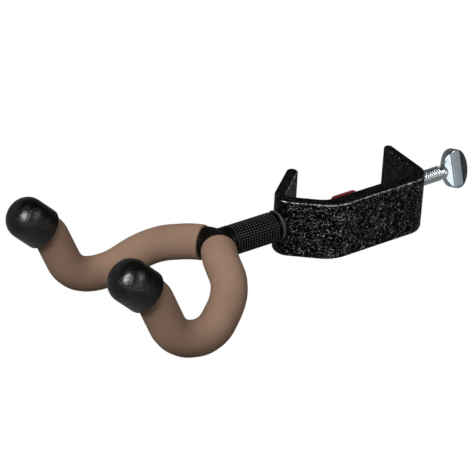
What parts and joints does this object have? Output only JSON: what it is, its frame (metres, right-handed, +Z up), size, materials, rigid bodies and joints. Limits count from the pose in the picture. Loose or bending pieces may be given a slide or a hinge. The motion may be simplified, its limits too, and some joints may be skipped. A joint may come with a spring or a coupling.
{
  "type": "clamp-on instrument hanger",
  "caption": "Hanger that clamps on a stand tube with a V seat and thumb screw and holds a neck in a padded swivelling yoke.",
  "frame": {"origin": "axis of the stand tube in the V seat, at mid height of the bracket", "axes": "+X from the tube to the thumb screw's head, +Z up along the tube, -Y the side of the plain front wall"},
  "size_m": [0.2484, 0.1236, 0.0768],
  "materials": {
    "bracket_coat": "coarse wrinkle powder coat",
    "zinc": "bright zinc plate",
    "red_vinyl": "satin",
    "dark_steel": "black oxide",
    "grey_nylon": "smooth matte",
    "bare_steel": "drawn bar",
    "sleeve_rubber": "fine grid knurl",
    "hub_paint": "satin black",
    "taupe_rubber": "smooth matte",
    "cap_rubber": "semi-gloss"
  },
  "bodies": {
    "clamp": {"clamp_bracket": "bracket_coat"},
    "tip": {"screw_tip": "red_vinyl"},
    "screw": {"clamp_screw": "zinc"},
    "yoke": {"arm_bolt": "dark_steel", "spring_washer": "dark_steel", "swivel_ring": "grey_nylon", "arm_core": "bare_steel", "arm_sleeve": "sleeve_rubber", "yoke_hub": "hub_paint", "yoke_rod": "bare_steel", "left_padding": "taupe_rubber", "right_padding": "taupe_rubber", "left_cap": "cap_rubber", "right_cap": "cap_rubber"}
  },
  "joints": [
    {"name": "screw_travel", "type": "slide", "parent": "clamp", "child": "tip", "axis": [1, 0, 0], "range_m": [-0.0242, 0.0275]},
    {"name": "screw_turn", "type": "hinge", "parent": "tip", "child": "screw", "pos_m": [0, 0, 0], "axis": [1, 0, 0], "range_deg": [-6179, 7021]},
    {"name": "yoke_swivel", "type": "hinge", "parent": "clamp", "child": "yoke", "pos_m": [0, 0, 0], "axis": [1, 0, 0], "continuous": true}
  ],
  "couplings": [
    {"joint": "screw_turn", "follows": "screw_travel", "rad_per_m": 4452.7}
  ]
}
